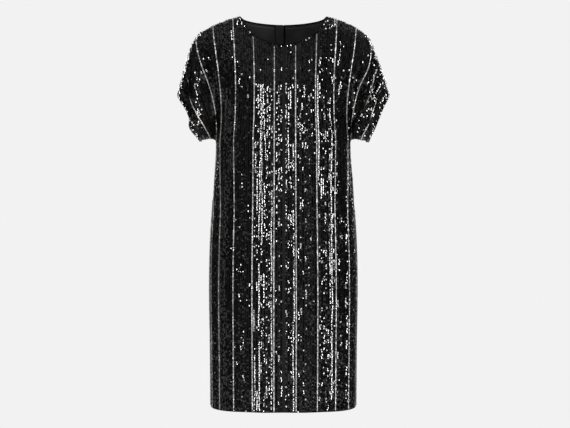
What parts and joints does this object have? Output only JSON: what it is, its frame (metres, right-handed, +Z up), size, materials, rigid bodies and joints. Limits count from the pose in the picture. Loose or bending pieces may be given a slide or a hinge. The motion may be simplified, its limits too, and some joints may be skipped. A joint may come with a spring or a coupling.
{
  "type": "sequin shift dress",
  "caption": "Knee-length sequin shift dress with a round neck, short grown-on sleeves and fine upright stripes, hollow and filled out as worn, with a concealed back zip.",
  "frame": {"origin": "middle of the neck opening, level with the two neck points of the shoulder seams, where the wearer's shoulders carry the dress", "axes": "+Z up, -Y out of the front of the dress, +X to the right in a view of its front"},
  "size_m": [0.5332, 0.2474, 0.9885],
  "materials": {
    "sequin_cloth": "black net closely sewn with flat gloss sequins, with upright silver stripes",
    "lining": "smooth charcoal lining",
    "zip_tape": "narrow woven tape",
    "zip_metal": "black lacquer, satin"
  },
  "bodies": {
    "dress": {"front": "sequin_cloth", "back_left": "sequin_cloth", "back_right": "sequin_cloth", "back_lining_left": "lining", "back_lining_right": "lining", "zip_tape_left": "zip_tape", "zip_tape_right": "zip_tape", "zip_slider": "zip_metal"},
    "pull_tab": {"zip_pull_tab": "zip_metal"}
  },
  "joints": [
    {"name": "pull_tab_lift", "type": "hinge", "parent": "dress", "child": "pull_tab", "pos_m": [0, 0.06339, -0.03218], "axis": [1, 0, 0], "range_deg": [0, 120]}
  ]
}
